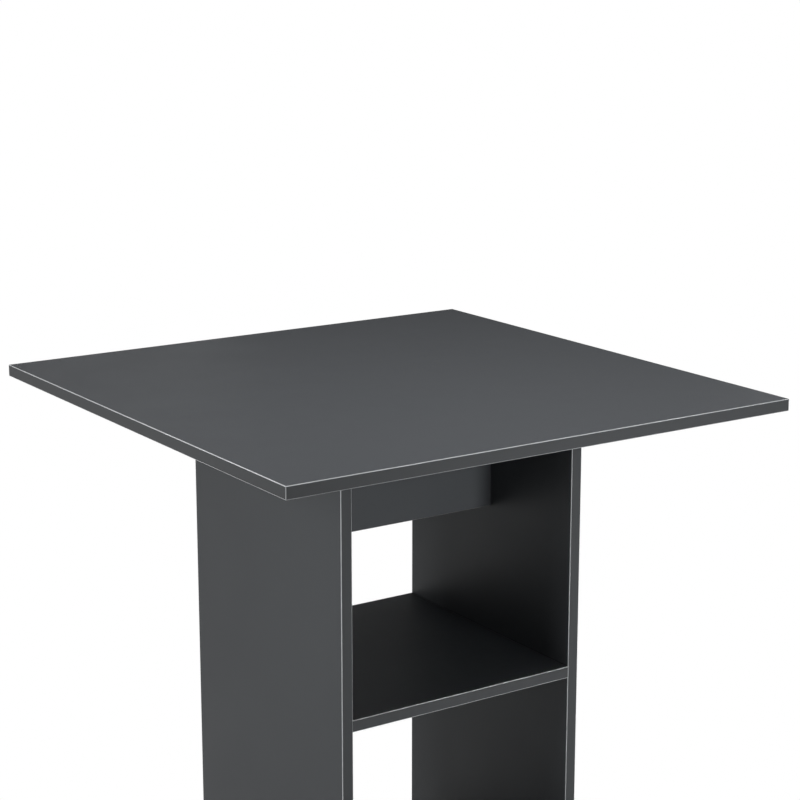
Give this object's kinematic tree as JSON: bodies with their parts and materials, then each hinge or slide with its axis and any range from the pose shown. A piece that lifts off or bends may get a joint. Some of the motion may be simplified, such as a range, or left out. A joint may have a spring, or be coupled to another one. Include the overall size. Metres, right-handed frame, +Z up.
{
  "type": "bar table",
  "caption": "Tall square bar table on a narrow open-fronted shelf column of dark melamine-faced boards, held by hidden cam fittings and standing on small nail-in glides.",
  "frame": {"origin": "on the floor, under the middle of the square top", "axes": "+Z up, +X to the right along the front edge, +Y to the back; the open front of the column faces -Y"},
  "size_m": [0.7, 0.7, 1.1],
  "materials": {
    "top_board": "satin melamine",
    "column_board": "satin melamine",
    "edge_band": "satin ABS",
    "cam_zinc": "die-cast zinc",
    "bolt_steel": "zinc plated",
    "dowel_beech": "bare beech",
    "cap_plastic": "matt moulded",
    "glide_plastic": "matt moulded",
    "nail_steel": "bright"
  },
  "bodies": {
    "root": {"bottom_board": "column_board", "bottom_board_band_back": "edge_band", "bottom_board_band_front": "edge_band", "bottom_board_bolts": "bolt_steel", "bottom_board_cam_caps": "cap_plastic", "bottom_board_cams": "cam_zinc", "bottom_board_dowels": "dowel_beech", "foot_glides": "glide_plastic", "glide_nails": "nail_steel", "lower_shelf": "column_board", "lower_shelf_band_back": "edge_band", "lower_shelf_band_front": "edge_band", "lower_shelf_bolts": "bolt_steel", "lower_shelf_cam_caps": "cap_plastic", "lower_shelf_cams": "cam_zinc", "lower_shelf_dowels": "dowel_beech", "rail": "column_board", "rail_band_bottom": "edge_band", "rail_bolts": "bolt_steel", "rail_cam_caps": "cap_plastic", "rail_cams": "cam_zinc", "rail_dowels": "dowel_beech", "rail_top_dowels": "dowel_beech", "side_left": "column_board", "side_left_band_back": "edge_band", "side_left_band_front": "edge_band", "side_left_bolts": "bolt_steel", "side_left_cam_caps": "cap_plastic", "side_left_cams": "cam_zinc", "side_left_dowels": "dowel_beech", "side_right": "column_board", "side_right_band_back": "edge_band", "side_right_band_front": "edge_band", "side_right_bolts": "bolt_steel", "side_right_cam_caps": "cap_plastic", "side_right_cams": "cam_zinc", "side_right_dowels": "dowel_beech", "table_top": "top_board", "top_band_back": "edge_band", "top_band_front": "edge_band", "top_band_left": "edge_band", "top_band_right": "edge_band", "upper_shelf": "column_board", "upper_shelf_band_back": "edge_band", "upper_shelf_band_front": "edge_band", "upper_shelf_bolts": "bolt_steel", "upper_shelf_cam_caps": "cap_plastic", "upper_shelf_cams": "cam_zinc", "upper_shelf_dowels": "dowel_beech"}
  },
  "joints": []
}
